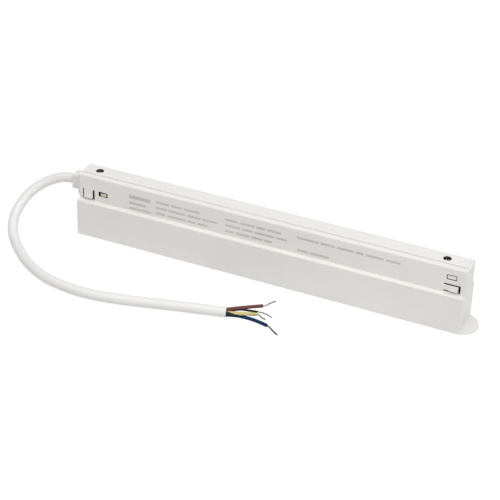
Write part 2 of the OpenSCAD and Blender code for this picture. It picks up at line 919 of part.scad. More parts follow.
module line_capacitor() {
    color([0.85, 0.75, 0.2])
        translate([row_middle("line"), 0, board_top])
            linear_extrude(line_capacitor_height)
                rounded_rect(line_capacitor_length, line_capacitor_width, 0.8);
}

module choke_section() {
    translate([choke_bore / 2, winding_thickness])
        square([(choke_diameter - choke_bore) / 2, choke_height]);
}

module filter_choke_core() {
    color(FERRITE)
        translate([row_middle("choke"), 0, board_top])
            rotate_extrude()
                choke_section();
}

// Two windings, one on each half of the ring
module filter_choke_windings() {
    spread = 130;
    color(COPPER)
        for (middle = [90, 270])
            translate([row_middle("choke"), 0, board_top])
                rotate(middle - spread / 2)
                    rotate_extrude(angle = spread)
                        difference() {
                            translate([choke_bore / 2 - winding_thickness, 0])
                                square([
                                    (choke_diameter - choke_bore) / 2 + 2 * winding_thickness,
                                    choke_height + 2 * winding_thickness
                                ]);
                            choke_section();
                        }
}

// Bent sheet with a foot on the board and an upright wall along its back edge
module heat_spreader() {
    color([0.75, 0.76, 0.78]) {
        x = row_start("cooled");
        translate([x, spreader_front, board_top])
            cube([spreader_length, spreader_thickness, spreader_height]);
        translate([x, spreader_front - spreader_foot, board_top])
            cube([spreader_length, spreader_foot + spreader_thickness, spreader_thickness]);
    }
}

module thermal_pad() {
    margin = 2;
    pad_thickness = floor_half_width - spreader_back;
    color([0.55, 0.6, 0.65])
        translate([row_start("cooled") + margin, spreader_back, board_top + margin])
            cube([spreader_length - 2 * margin, pad_thickness, spreader_height - 2 * margin]);
}

// Flat device on the spreader's foot, against its wall
module cooled_device(left, length, height) {
    translate([left, spreader_front - device_thickness, device_base])
        cube([length, device_thickness, height]);
}

module bridge_rectifier() {
    color(EPOXY)
        cooled_device(row_start("cooled") + device_gap / 2, bridge_length, bridge_height);
}

module power_transistors() {
    first = row_start("cooled") + device_gap / 2 + bridge_length + device_gap;
    pitch = transistor_length + device_gap;
    color(EPOXY)
        for (i = [0, 1])
            cooled_device(first + i * pitch, transistor_length, transistor_height);
}

// Wound core: yokes at both ends, outer legs, and a centre leg inside the winding
module core_block(x, y, length, width, height) {
    centre_leg = width / 4;
    window_width = (width - 2 * leg - centre_leg) / 2;
    core_height = height - 2 * yoke;
    difference() {
        standing_block(x, y, board_top + yoke, length, width, core_height);
        for (side = [-1, 1])
            standing_block(
                x, y + side * (centre_leg + window_width) / 2, board_top,
                length - 2 * yoke, window_width, height
            );
    }
}

module core_winding(x, y, length, width, height) {
    centre_leg = width / 4;
    winding_width = width - 2 * leg - 2 * joint_gap;
    difference() {
        standing_block(x, y, board_top, length - 2 * yoke - 2 * joint_gap, winding_width, height);
        standing_block(
            x, y, board_top + yoke - joint_gap,
            length, centre_leg + 2 * joint_gap, height - 2 * yoke + 2 * joint_gap
        );
    }
    for (end = [-1, 1])
        standing_block(x + end * (length - 2 * yoke) / 2, y, board_top, yoke, winding_width, yoke);
}

module boost_core() {
    color(FERRITE)
        core_block(boost_x, boost_y, boost_length, boost_width, boost_height);
}

module boost_winding() {
    color(COPPER)
        core_winding(boost_x, boost_y, boost_length, boost_width, boost_height);
}

module transformer_core() {
    x = row_middle("transformer");
    color(FERRITE)
        core_block(x, 0, transformer_length, transformer_width, transformer_height);
}

module transformer_winding() {
    x = row_middle("transformer");
    color([0.85, 0.75, 0.3])
        core_winding(x, 0, transformer_length, transformer_width, transformer_height);
}

// Upright card with three chips on its front
module control_board() {
    card_thickness = 1.2;
    chip = 4;
    chip_thickness = 1.5;
    chip_pitch = (control_length - chip) / 3;
    left = row_start("cooled") + boost_length + component_gap;
    y = -board_half_width / 2;
    color(BOARD_GREEN)
        translate([left, y, board_top])
            cube([control_length, card_thickness, control_height]);
    color(EPOXY)
        for (i = [0 : 2])
            translate([left + (i + 0.5) * chip_pitch, y - chip_thickness, board_top + chip])
                cube([chip, chip_thickness + card_thickness / 2, chip]);
}

// Capacitor can along Z with a bead near its foot
module capacitor_can(diameter, height) {
    bead = diameter / 20;
    bead_level = diameter / 5;
    difference() {
        cylinder(d = diameter, h = height);
        translate([0, 0, bead_level])
            difference() {
                cylinder(d = diameter + overcut, h = bead);
                translate([0, 0, -overcut])
                    cylinder(d = diameter - bead, h = bead + 2 * overcut);
            }
    }
}

module bulk_capacitors() {
    pitch = bulk_length + bulk_gap;
    color(CAN_SLEEVE)
        for (i = [0, 1])
            translate([row_start("bulk") + i * pitch, 0, board_top + bulk_diameter / 2])
                rotate([0, 90, 0])
                    capacitor_can(bulk_diameter, bulk_length);
}

module output_capacitors() {
    pitch = output_capacitor_diameter + smoothing_gap;
    color(CAN_SLEEVE)
        for (x = [-1, 1], y = [-1, 1])
            translate([row_middle("smoothing") + x * pitch / 2, y * pitch / 2, board_top])
                capacitor_can(output_capacitor_diameter, output_capacitor_height);
}

module output_choke() {
    flange = 1.5;
    color(FERRITE)
        translate([row_middle("rectifier"), output_choke_y, board_top]) {
            cylinder(d = output_choke_diameter, h = flange);
            cylinder(d = output_choke_diameter - flange, h = output_choke_height);
            translate([0, 0, output_choke_height - flange])
                cylinder(d = output_choke_diameter, h = flange);
        }
}

module output_rectifiers() {
    height = 2.4;
    pitch = rectifier_width + rectifier_gap;
    first_y = board_half_width - rectifier_gap - rectifier_width / 2;
    color(EPOXY)
        for (i = [0, 1])
            standing_block(
                row_middle("rectifier"), first_y - i * pitch, board_top,
                rectifier_length, rectifier_width, height
            );
}

// Leads inside the housing

// From the strain relief, down in front of the boss and past its side, to a port of the mains terminal
function mains_lead_route(place, beside_y) =
    let (
        x = relief_inner_face, z = port_height, port_x = row_start("terminal"),
        drop_y = place * lead_pitch, port_y = place * mains_pitch
    )
    [
        [x, drop_y, relief_level], [x + 1.4, drop_y, relief_level],
        [x + 3.2, drop_y, relief_level - 1.4], [x + 4, drop_y, relief_level - 4.5],
        [x + 4, drop_y, flange_bottom - 4], [x + 4, beside_y, z + 6],
        [x + 4.8, beside_y, z + 2.6], [x + 7, beside_y, z + 0.5], [left_screw_x, beside_y, z],
        [left_screw_x + boss_diameter / 2, beside_y, z], [port_x - 3, port_y, z], [port_x, port_y, z]
    ];

module mains_lead(place, beside_y, tint) {
    color(tint)
        swept_tube(mains_lead_route(place, beside_y), lead_diameter, 8, [0, 1, 0]);
}

module control_lead() {
    mains_lead(-1.5, -lead_beside - lead_pitch, CONTROL_BLACK);
}

module live_lead() {
    mains_lead(-0.5, -lead_beside, LIVE_BROWN);
}

module earth_lead() {
    mains_lead(0.5, lead_beside, EARTH_YELLOW);
}

module neutral_lead() {
    mains_lead(1.5, lead_beside + lead_pitch, NEUTRAL_BLUE);
}

// From the output terminal, up into the upper housing and back to the contact block
function output_lead_route(y) =
    let (x = row_start("outlet") + output_terminal_length, z = port_height)
    let (rise = output_lead_height - z)
    [
        [x, y, z], [x + 2, y, z], [x + 5.5, y, z + 1], [x + 8, y, z + rise / 4],
        [x + 8.6, y, z + rise / 2], [x + 7, y, z + rise * 3 / 4], [x + 2.5, y, z + rise * 0.95],
        [x - 4, y, output_lead_height],
        [block_right + 4, y, output_lead_height], [block_right, y, output_lead_height]
    ];

module positive_lead() {
    color([0.7, 0.1, 0.1])
        swept_tube(output_lead_route(-output_lead_y), output_lead_diameter, 8, [0, 1, 0]);
}

module negative_lead() {
    color([0.1, 0.1, 0.1])
        swept_tube(output_lead_route(output_lead_y), output_lead_diameter, 8, [0, 1, 0]);
}

lower_housing();
upper_housing();
cover_screws();
strain_relief();
contact_block();
output_contacts();
blanking_block();
mains_cable();
live_core();
control_core();
neutral_core();
earth_core();
live_strands();
control_strands();
neutral_strands();
earth_strands();
circuit_board();
board_screws();
mains_terminal();
fuse();
varistor();
line_capacitor();
filter_choke_core();
filter_choke_windings();
suppression_capacitors();
heat_spreader();
thermal_pad();
bridge_rectifier();
power_transistors();
boost_core();
boost_winding();
control_board();
bulk_capacitors();
transformer_core();
transformer_winding();
output_rectifiers();
output_choke();
output_capacitors();
output_terminal();
live_lead();
control_lead();
neutral_lead();
earth_lead();
positive_lead();
negative_lead();
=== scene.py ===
"""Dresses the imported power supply: camera, cable, cores, print, materials, floor and light."""

import math

import bpy
import numpy as np
from mathutils import Matrix, Vector


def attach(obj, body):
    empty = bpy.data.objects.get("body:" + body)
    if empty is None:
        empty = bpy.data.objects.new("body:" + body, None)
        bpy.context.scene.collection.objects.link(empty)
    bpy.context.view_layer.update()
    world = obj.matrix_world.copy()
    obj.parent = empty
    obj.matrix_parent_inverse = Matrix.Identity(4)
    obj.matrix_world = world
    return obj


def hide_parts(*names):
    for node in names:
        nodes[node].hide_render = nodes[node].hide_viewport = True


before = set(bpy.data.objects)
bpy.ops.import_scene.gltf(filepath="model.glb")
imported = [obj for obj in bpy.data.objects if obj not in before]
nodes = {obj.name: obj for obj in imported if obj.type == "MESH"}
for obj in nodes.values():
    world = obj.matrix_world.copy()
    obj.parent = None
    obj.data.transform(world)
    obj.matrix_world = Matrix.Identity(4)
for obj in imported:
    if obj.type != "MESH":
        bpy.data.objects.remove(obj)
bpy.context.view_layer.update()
scene = bpy.context.scene
MM = 0.001

# Camera, as fitted to the photograph
FRAME_PX = 500
FOCAL_PX = 1650.59
SENSOR_MM = 36
CAMERA_EYE = (0.38524, -0.97381, 0.67544)
CAMERA_YAW = 0.390096
CAMERA_PITCH = 0.559178
CAMERA_ROLL = -0.040365


def photo_camera():
    """Looks at the object as the photograph does, with the optical axis through the frame's middle."""
    level = math.cos(CAMERA_PITCH)
    forward = Vector((
        -math.sin(CAMERA_YAW) * level, math.cos(CAMERA_YAW) * level, -math.sin(CAMERA_PITCH)
    ))
    right = Vector((math.cos(CAMERA_YAW), math.sin(CAMERA_YAW), 0))
    down = forward.cross(right)
    turn_cos, turn_sin = math.cos(CAMERA_ROLL), math.sin(CAMERA_ROLL)
    across = turn_cos * right + turn_sin * down
    up = turn_sin * right - turn_cos * down
    data = bpy.data.cameras.new("photo_camera")
    data.sensor_fit = "HORIZONTAL"
    data.sensor_width = SENSOR_MM
    data.lens = SENSOR_MM * FOCAL_PX / FRAME_PX
    data.clip_start = 0.01
    data.clip_end = 20
    camera = bpy.data.objects.new("photo_camera", data)
    matrix = Matrix((across, up, -forward)).transposed().to_4x4()
    matrix.translation = CAMERA_EYE
    camera.matrix_world = matrix
    scene.collection.objects.link(camera)
    scene.camera = camera


photo_camera()


# Materials

def new_material(name):
    """A node material with its shader and the object's own coordinates."""
    material = bpy.data.materials.new(name)
    material.use_nodes = True
    tree = material.node_tree
    shader = tree.nodes["Principled BSDF"]
    place = tree.nodes.new("ShaderNodeTexCoord").outputs["Object"]
    return material, tree, shader, place


def noise(tree, place, scale, detail=2.0, stretch=None):
    """Noise over the given place, optionally stretched along the axes."""
    if stretch:
        mapping = tree.nodes.new("ShaderNodeMapping")
        mapping.inputs["Scale"].default_value = stretch
        tree.links.new(place, mapping.inputs["Vector"])
        place = mapping.outputs["Vector"]
    texture = tree.nodes.new("ShaderNodeTexNoise")
    texture.inputs["Scale"].default_value = scale
    texture.inputs["Detail"].default_value = detail
    tree.links.new(place, texture.inputs["Vector"])
    return texture.outputs["Fac"]


def bands(tree, place, scale, axis):
    """Parallel bands across one axis, a little wavy."""
    texture = tree.nodes.new("ShaderNodeTexWave")
    texture.wave_type = "BANDS"
    texture.bands_direction = axis
    texture.inputs["Scale"].default_value = scale
    texture.inputs["Distortion"].default_value = 0.5
    tree.links.new(place, texture.inputs["Vector"])
    return texture.outputs["Fac"]


def ramp(tree, factor, dark, light, low=0.3, high=0.7):
    """Colours from dark to light, as the factor goes from low to high."""
    node = tree.nodes.new("ShaderNodeValToRGB")
    first, last = node.color_ramp.elements
    first.position, last.position = low, high
    first.color = (*dark, 1)
    last.color = (*light, 1)
    tree.links.new(factor, node.inputs["Fac"])
    return node.outputs["Color"]


def spread(tree, factor, low, high):
    """Numbers from low to high, as the factor goes from 0.3 to 0.7."""
    node = tree.nodes.new("ShaderNodeMapRange")
    node.inputs["From Min"].default_value = 0.3
    node.inputs["From Max"].default_value = 0.7
    node.inputs["To Min"].default_value = low
    node.inputs["To Max"].default_value = high
    tree.links.new(factor, node.inputs["Value"])
    return node.outputs["Result"]


def relief(tree, shader, height, distance):
    """Bump of the given depth in metres."""
    node = tree.nodes.new("ShaderNodeBump")
    node.inputs["Strength"].default_value = 1
    node.inputs["Distance"].default_value = distance
    tree.links.new(height, node.inputs["Height"])
    tree.links.new(node.outputs["Normal"], shader.inputs["Normal"])


def shaded(colour, share):
    """The colour, darkened or lightened by a share of itself."""
    return tuple(min(1.0, channel * (1 + share)) for channel in colour)


def moulded(name, colour, roughness, grain=2600, depth=6e-6, mottle=0.02):
    """Moulded plastic: a fine eroded grain over faint broad clouds."""
    material, tree, shader, place = new_material(name)
    fine = noise(tree, place, grain, 3)
    broad = noise(tree, place, 35, 2)
    tint = ramp(tree, broad, shaded(colour, -mottle), shaded(colour, mottle))
    tree.links.new(tint, shader.inputs["Base Color"])
    tree.links.new(spread(tree, fine, roughness - 0.06, roughness + 0.06), shader.inputs["Roughness"])
    relief(tree, shader, fine, depth)
    return material


def sheathed(name, colour, roughness, along, mottle, specular=0.5):
    """Extruded plastic: faint streaks along the cord."""
    material, tree, shader, place = new_material(name)
    streaks = noise(tree, place, 900, 2, along)
    clouds = noise(tree, place, 60, 2)
    tint = ramp(tree, clouds, shaded(colour, -mottle), shaded(colour, mottle))
    tree.links.new(tint, shader.inputs["Base Color"])
    gloss = spread(tree, streaks, roughness - 0.07, roughness + 0.07)
    tree.links.new(gloss, shader.inputs["Roughness"])
    shader.inputs["Specular IOR Level"].default_value = specular
    relief(tree, shader, streaks, 1.2e-5)
    return material


SCRATCH_DEPTH = 4e-6
TARNISH = 0.12


def metal(name, colour, roughness, along=(1, 8, 8)):
    """Bare metal: fine scratches along one axis and patches of tarnish."""
    material, tree, shader, place = new_material(name)
    scratches = noise(tree, place, 1400, 3, along)
    patches = noise(tree, place, 260, 3)
    tint = ramp(tree, patches, shaded(colour, -TARNISH), shaded(colour, TARNISH))
    tree.links.new(tint, shader.inputs["Base Color"])
    gloss = spread(tree, scratches, roughness - 0.1, roughness + 0.1)
    tree.links.new(gloss, shader.inputs["Roughness"])
    shader.inputs["Metallic"].default_value = 1
    relief(tree, shader, scratches, SCRATCH_DEPTH)
    return material


def math_step(tree, operation, first, second=0.0, third=0.0):
    """One sum on a factor; the second term may be a factor too."""
    node = tree.nodes.new("ShaderNodeMath")
    node.operation = operation
    tree.links.new(first, node.inputs[0])
    if isinstance(second, float):
        node.inputs[1].default_value = second
    else:
        tree.links.new(second, node.inputs[1])
    node.inputs[2].default_value = third
    return node.outputs["Value"]


def in_box(tree, place, box):
    """1 where the sizes of X, Y and Z lie within a box in millimetres, 0 elsewhere."""
    axes = tree.nodes.new("ShaderNodeSeparateXYZ")
    tree.links.new(place, axes.inputs["Vector"])
    mask = None
    for axis, (low, high) in zip("XYZ", box):
        size = math_step(tree, "ABSOLUTE", axes.outputs[axis])
        within = math_step(tree, "COMPARE", size, (low + high) / 2 * MM, (high - low) / 2 * MM)
        mask = math_step(tree, "MULTIPLY", mask, within) if mask else within
    return mask


def shadowed(name, colour, roughness, depths):
    """Moulded plastic with painted shade within boxes of X, Y and Z sizes, as in slots and creases."""
    material = moulded(name, colour, roughness)
    tree = material.node_tree
    shader = tree.nodes["Principled BSDF"]
    place = tree.nodes["Texture Coordinate"].outputs["Object"]
    for share, box in depths:
        mix = tree.nodes.new("ShaderNodeMixRGB")
        tree.links.new(in_box(tree, place, box), mix.inputs["Fac"])
        tree.links.new(shader.inputs["Base Color"].links[0].from_socket, mix.inputs["Color1"])
        mix.inputs["Color2"].default_value = (*shaded(colour, -share), 1)
        tree.links.new(mix.outputs["Color"], shader.inputs["Base Color"])
    return material


# Painted highlight on the screw heads: the share of the radius inside which it is not metal, and the
# edges of its colour ramp
PAINTED_HIGHLIGHT_SHARE = 0.5
PAINTED_HIGHLIGHT_EDGE = (0.36, 0.54)


def screw_metal(name, rim, centre, screws):
    """Dark plated metal with a painted highlight in the middle of the heads of a pair of screws along X.
    """
    material, tree, shader, place = new_material(name)
    low, high = (Vector(corner) for corner in (screws.bound_box[0], screws.bound_box[6]))
    head_radius = (high.y - low.y) / 2
    middle = (low.x + high.x) / 2
    half_pitch = (high.x - low.x) / 2 - head_radius
    axes = tree.nodes.new("ShaderNodeSeparateXYZ")
    tree.links.new(place, axes.inputs["Vector"])
    aside = math_step(tree, "SUBTRACT", axes.outputs["X"], middle)
    aside = math_step(tree, "SUBTRACT", math_step(tree, "ABSOLUTE", aside), half_pitch)
    flat = tree.nodes.new("ShaderNodeCombineXYZ")
    tree.links.new(aside, flat.inputs["X"])
    tree.links.new(axes.outputs["Y"], flat.inputs["Y"])
    from_axis = tree.nodes.new("ShaderNodeVectorMath")
    from_axis.operation = "LENGTH"
    tree.links.new(flat.outputs["Vector"], from_axis.inputs[0])
    share = math_step(tree, "DIVIDE", from_axis.outputs["Value"], head_radius)
    tree.links.new(ramp(tree, share, centre, rim, *PAINTED_HIGHLIGHT_EDGE), shader.inputs["Base Color"])
    scratches = noise(tree, place, 1400, 3, (4, 4, 1))
    tree.links.new(spread(tree, scratches, 0.32, 0.5), shader.inputs["Roughness"])
    tree.links.new(math_step(tree, "GREATER_THAN", share, PAINTED_HIGHLIGHT_SHARE), shader.inputs["Metallic"])
    relief(tree, shader, scratches, SCRATCH_DEPTH)
    return material


def wound(name, dark, light, turns, axis, roughness=0.35, metallic=0.0):
    """Turns of wire or tape, side by side."""
    material, tree, shader, place = new_material(name)
    rows = bands(tree, place, turns, axis)
    tree.links.new(ramp(tree, rows, dark, light, 0.1, 0.7), shader.inputs["Base Color"])
    tree.links.new(spread(tree, rows, roughness + 0.1, roughness), shader.inputs["Roughness"])
    shader.inputs["Metallic"].default_value = metallic
    relief(tree, shader, rows, 8e-5)
    return material


def masked_board(name, mask, trace):
    """Solder mask over copper tracks, with a weave of glass just showing."""
    material, tree, shader, place = new_material(name)
    cells = tree.nodes.new("ShaderNodeTexVoronoi")
    cells.feature = "DISTANCE_TO_EDGE"
    cells.inputs["Scale"].default_value = 220
    tree.links.new(place, cells.inputs["Vector"])
    weave = noise(tree, place, 1500, 2)
    tint = ramp(tree, cells.outputs["Distance"], trace, mask, 0.05, 0.09)
    tree.links.new(tint, shader.inputs["Base Color"])
    tree.links.new(spread(tree, weave, 0.25, 0.4), shader.inputs["Roughness"])
    relief(tree, shader, weave, 1.5e-5)
    return material


HOUSING_WHITE = (0.84, 0.826, 0.797)
SHEATH_WHITE = (0.83, 0.822, 0.805)
PRINT_GREY = (0.59, 0.585, 0.57)
BROWN = (0.158, 0.064, 0.058)
BLACK = (0.04, 0.027, 0.015)
BLUE = (0.002, 0.028, 0.088)
YELLOW = (0.62, 0.525, 0.245)
# Earth stripe green, darkened as painted shade
GREEN_AND_SHADE = (0.014, 0.036, 0.02)

HOUSING_ROUGHNESS = 0.45
# Painted shade of the upper housing's slots, screw seats and crease, and boxes of X, Y and Z sizes in
# millimetres
SLOT_SHADE = 0.93
SEAT_SHADE = 0.88
CREASE_SHADE = 0.1
SLOTS = ((0, 154.6), (6, 9.47), (31.2, 48.5))
RIDGE_FOOT = ((0, 156), (5, 5.6), (51.1, 52.1))
BEHIND_WINDOWS = ((0, 156), (0, 9.37), (0, 60))
SCREW_SEATS = ((133, 146), (0, 3.2), (48.8, 52.25))

housing_plastic = moulded("housing_plastic", HOUSING_WHITE, HOUSING_ROUGHNESS)
shell_plastic = shadowed("shell_plastic", HOUSING_WHITE, HOUSING_ROUGHNESS, (
    (SLOT_SHADE, SLOTS), (SEAT_SHADE, SCREW_SEATS), (CREASE_SHADE, RIDGE_FOOT),
))
# The contact and blanking blocks get painted shade behind the windows
block_plastic = shadowed("block_plastic", HOUSING_WHITE, 0.5, ((SLOT_SHADE, BEHIND_WINDOWS),))
# Strain relief: the housing white, a little darker as painted shade
relief_plastic = moulded("relief_plastic", shaded(HOUSING_WHITE, -0.02), 0.5, grain=1800)
sheath_plastic = sheathed("sheath_plastic", SHEATH_WHITE, 0.42, (0.15, 1, 1), 0.015)
# Filler face in the sheath's cut end, made near black as painted shade inside the end
filler_and_shade_plastic = moulded("filler_and_shade_plastic", (0.1, 0.095, 0.09), 0.8, grain=3000, depth=3e-5)
print_ink = moulded("print_ink", PRINT_GREY, 0.55, grain=4000, depth=2e-6, mottle=0.08)
CORE_GLOSS = 0.12
brown_plastic = sheathed("brown_plastic", BROWN, 0.4, (0.3, 1, 1), 0.12, specular=CORE_GLOSS)
black_plastic = sheathed("black_plastic", BLACK, 0.4, (0.3, 1, 1), 0.12, specular=CORE_GLOSS)
blue_plastic = sheathed("blue_plastic", BLUE, 0.38, (0.3, 1, 1), 0.12, specular=CORE_GLOSS)
yellow_plastic = sheathed("yellow_plastic", YELLOW, 0.4, (0.3, 1, 1), 0.1, specular=CORE_GLOSS)
green_and_shade_plastic = sheathed("green_and_shade_plastic", GREEN_AND_SHADE, 0.4, (0.3, 1, 1), 0.12, specular=CORE_GLOSS)
# One tinned copper in three tones: the lighter and darker copies are painted light and painted shade
wire_painted_light = metal("wire_painted_light", (0.33, 0.33, 0.32), 0.38)
tinned_wire = metal("tinned_wire", (0.17, 0.165, 0.155), 0.38)
wire_painted_shade = metal("wire_painted_shade", (0.08, 0.08, 0.082), 0.45)
contact_brass = metal("contact_brass", (0.62, 0.56, 0.46), 0.32)
screw_zinc = metal("screw_zinc", (0.42, 0.41, 0.39), 0.4, (4, 4, 1))
# Cover screws: dark plating, with a painted highlight in the middle of each head
screw_plating_and_highlight = screw_metal(
    "screw_plating_and_highlight", (0.03, 0.026, 0.023), (0.8, 0.78, 0.75), nodes["cover_screws"]
)
spreader_metal = metal("spreader_metal", (0.75, 0.76, 0.78), 0.32)
copper_turns = wound("copper_turns", (0.2, 0.07, 0.03), (0.75, 0.33, 0.14), 140, "X", 0.3, 1.0)
tape_turns = wound("tape_turns", (0.5, 0.36, 0.05), (0.78, 0.62, 0.14), 45, "Z")
board_mask = masked_board("board_mask", (0.01, 0.11, 0.035), (0.02, 0.2, 0.07))
terminal_plastic = moulded("terminal_plastic", (0.04, 0.22, 0.09), 0.45)
fuse_plastic = moulded("fuse_plastic", (0.11, 0.04, 0.02), 0.4)
blue_resin = moulded("blue_resin", (0.03, 0.11, 0.4), 0.25, grain=600, depth=2e-5, mottle=0.1)
film_plastic = moulded("film_plastic", (0.7, 0.5, 0.04), 0.45)
ferrite_grey = moulded("ferrite_grey", (0.05, 0.05, 0.055), 0.6, grain=1500, depth=2e-5, mottle=0.15)
pad_rubber = moulded("pad_rubber", (0.27, 0.33, 0.39), 0.75, grain=900, depth=3e-5)
device_epoxy = moulded("device_epoxy", (0.014, 0.014, 0.016), 0.5, grain=1200, depth=2e-5, mottle=0.15)
sleeve_film = sheathed("sleeve_film", (0.02, 0.02, 0.035), 0.3, (0.2, 1, 1), 0.12)
red_lead = sheathed("red_lead", (0.45, 0.012, 0.012), 0.4, (0.2, 1, 1), 0.1)
black_lead = sheathed("black_lead", (0.012, 0.012, 0.012), 0.4, (0.2, 1, 1), 0.15)

NODE_MATERIALS = {
    housing_plastic: ("lower_housing",),
    shell_plastic: ("upper_housing",),
    block_plastic: ("contact_block", "blanking_block"),
    relief_plastic: ("strain_relief",),
    screw_plating_and_highlight: ("cover_screws",),
    screw_zinc: ("board_screws",),
    contact_brass: ("output_contacts",),
    board_mask: ("circuit_board", "control_board"),
    terminal_plastic: ("mains_terminal", "output_terminal"),
    fuse_plastic: ("fuse",),
    blue_resin: ("varistor", "suppression_capacitors"),
    film_plastic: ("line_capacitor",),
    ferrite_grey: ("filter_choke_core", "boost_core", "transformer_core", "output_choke"),
    copper_turns: ("filter_choke_windings", "boost_winding"),
    tape_turns: ("transformer_winding",),
    spreader_metal: ("heat_spreader",),
    pad_rubber: ("thermal_pad",),
    device_epoxy: ("bridge_rectifier", "power_transistors", "output_rectifiers"),
    sleeve_film: ("bulk_capacitors", "output_capacitors"),
    brown_plastic: ("live_lead",),
    black_plastic: ("control_lead",),
    blue_plastic: ("neutral_lead",),
    yellow_plastic: ("earth_lead",),
    red_lead: ("positive_lead",),
    black_lead: ("negative_lead",),
}
for material, names in NODE_MATERIALS.items():
    for name in names:
        nodes[name].data.materials.clear()
        nodes[name].data.materials.append(material)


# Tubes along smooth routes

def smooth(points, pieces):
    """Natural cubic curve through the points, by chord length, sampled in equal steps."""
    points = np.array(points, float)
    knots = np.concatenate([[0], np.cumsum(np.linalg.norm(np.diff(points, axis=0), axis=1))])
    gaps = np.diff(knots)
    count = len(points)
    system = np.eye(count)
    right = np.zeros((count, 3))
    for i in range(1, count - 1):
        system[i, i - 1:i + 2] = gaps[i - 1], 2 * (gaps[i - 1] + gaps[i]), gaps[i]
        slope_before = (points[i] - points[i - 1]) / gaps[i - 1]
        slope_after = (points[i + 1] - points[i]) / gaps[i]
        right[i] = 6 * (slope_after - slope_before)
    bend = np.linalg.solve(system, right)
    places = np.linspace(0, knots[-1], pieces + 1)
    index = np.clip(np.searchsorted(knots, places, side="right") - 1, 0, count - 2)
    gap = gaps[index][:, None]
    before = (knots[index + 1] - places)[:, None]
    after = (places - knots[index])[:, None]
    return (
        (bend[index] * before ** 3 + bend[index + 1] * after ** 3) / (6 * gap)
        + (points[index] / gap - bend[index] * gap / 6) * before
        + (points[index + 1] / gap - bend[index + 1] * gap / 6) * after
    )


def directions(path):
    """Unit tangents of a path."""
    tangents = np.gradient(path, axis=0)
    return tangents / np.linalg.norm(tangents, axis=1)[:, None]


def sides_of(path):
    """Two unit directions across the path at each point, carried along without twisting."""
    tangents = directions(path)
    across = np.array((0, 0, 1), float)
    first = []
    for tangent in tangents:
        across = across - tangent * (across @ tangent)
        across = across / np.linalg.norm(across)
        first.append(across)
    first = np.array(first)
    return first, np.cross(tangents, first)


def tube_rings(path, radii, count):
    """Rings of points around a path."""
    first, second = sides_of(path)
    turns = np.linspace(0, 2 * math.pi, count, endpoint=False)
    return [
        path[i] + radii[i] * (np.outer(np.cos(turns), first[i]) + np.outer(np.sin(turns), second[i]))
        for i in range(len(path))
    ]


def skin(rings):
    """Vertices and faces of a closed skin over rings of equal count."""
    count = len(rings[0])
    vertices = np.concatenate(rings)
    last = (len(rings) - 1) * count
    faces = []
    for start in range(0, last, count):
        for k in range(count):
            beside = start + (k + 1) % count
            faces.append((start + k, beside, beside + count, start + k + count))
    faces.append(tuple(range(count - 1, -1, -1)))
    faces.append(tuple(range(last, last + count)))
    return vertices, faces


def piece(name, parts, materials, chosen=None):
    """A smooth-shaded mesh piece on the root body, from lists of vertices and faces."""
    vertices, faces = [], []
    for part_vertices, part_faces in parts:
        start = len(vertices)
        vertices.extend(map(tuple, part_vertices))
        faces.extend(tuple(start + index for index in face) for face in part_faces)
    mesh = bpy.data.meshes.new(name)
    mesh.from_pydata(vertices, [], faces)
    for material in materials:
        mesh.materials.append(material)
    for polygon in mesh.polygons:
        polygon.use_smooth = len(polygon.vertices) == 4
        if chosen:
            polygon.material_index = chosen(polygon.index)
    mesh.update()
    made = bpy.data.objects.new(name, mesh)
    scene.collection.objects.link(made)
    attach(made, "root")
    return made


# Cable and cores: X is counted from the strain relief's face, Y and Z from the origin, in millimetres,
# and a point that is lower than the tube's radius lies on the floor
RELIEF_FACE = -163.75
CABLE_POINTS = [
    (0, 0, 40), (-1, 0, 40), (-13.5, -1.5, 38), (-22.5, -5, 34), (-28.5, -9.5, 30), (-34, -17.5, 24),
    (-36, -26.5, 18), (-35, -35.5, 13), (-31, -44, 8.5), (-23, -53.5, 5), (-13.5, -62.5, 4), (-1, -73, 0),
    (8, -78.5, 0), (20.5, -84.5, 0), (32, -87.5, 0), (46.5, -89.5, 0), (59.5, -89.5, 0), (75, -87.5, 0),
    (89, -84.5, 0), (102.5, -81, 0), (117.5, -77, 0), (131, -73.5, 0), (145.5, -70, 0), (159.5, -66.5, 0),
]
CABLE_DIAMETER = 7.8
SHEATH_WALL = 0.5
SHEATH_RECESS = 0.9
CORE_DIAMETER = 2.6
CONTROL_DIAMETER = 1.7
CORE_RING = 0.79 * CORE_DIAMETER
CORE_LEAN = 22
LIVE_POINTS = [(169, -59, 6.2), (175.5, -54.8, 6.4), (181.5, -51, 6.6)]
CONTROL_POINTS = [(167.3, -58.3, 3.5), (173, -56.3, 3.1), (178.8, -54.4, 2.6)]
NEUTRAL_POINTS = [(166, -64.3, 1.5), (173, -63.2, 0), (182.5, -63.8, 0), (191, -65.7, 0)]
EARTH_POINTS = [(169.3, -64.4, 4.4), (175.7, -61.6, 4.2), (180.3, -59, 3.6)]
LIVE_STRANDS = [(184.5, -46, 6.4), (187.5, -40.5, 6)]
CONTROL_STRANDS = [(184.5, -53.5, 2.2), (190.5, -55, 1.4)]
NEUTRAL_STRANDS = [(196, -68.6, 1.1), (202, -72.5, 0.8)]
EARTH_STRANDS = [(184, -59.6, 2.6), (187.6, -59.8, 1.6)]


def from_relief(points, radius):
    """Points counted from the strain relief's face, as metres in the row frame."""
    return [Vector((x + RELIEF_FACE, y, max(z, radius))) * MM for x, y, z in points]


RIM_ROUNDING = 0.12


def cut_tube(path, radius, wall, recess, count):
    """Rings of a tube whose end is cut square, with a wall around a recess."""
    rounding = RIM_ROUNDING * wall
    offsets = [-rounding, 0, 0, -rounding, -recess]
    radii = [radius, radius - rounding, radius - wall + rounding, radius - wall, radius - wall]
    end = path[-1]
    along = directions(path)[-1]
    rings = tube_rings(path, [radius] * len(path), count)
    rim = (rings.pop() - end) / radius
    return rings + [end + offset * along + rim * size for offset, size in zip(offsets, radii)]


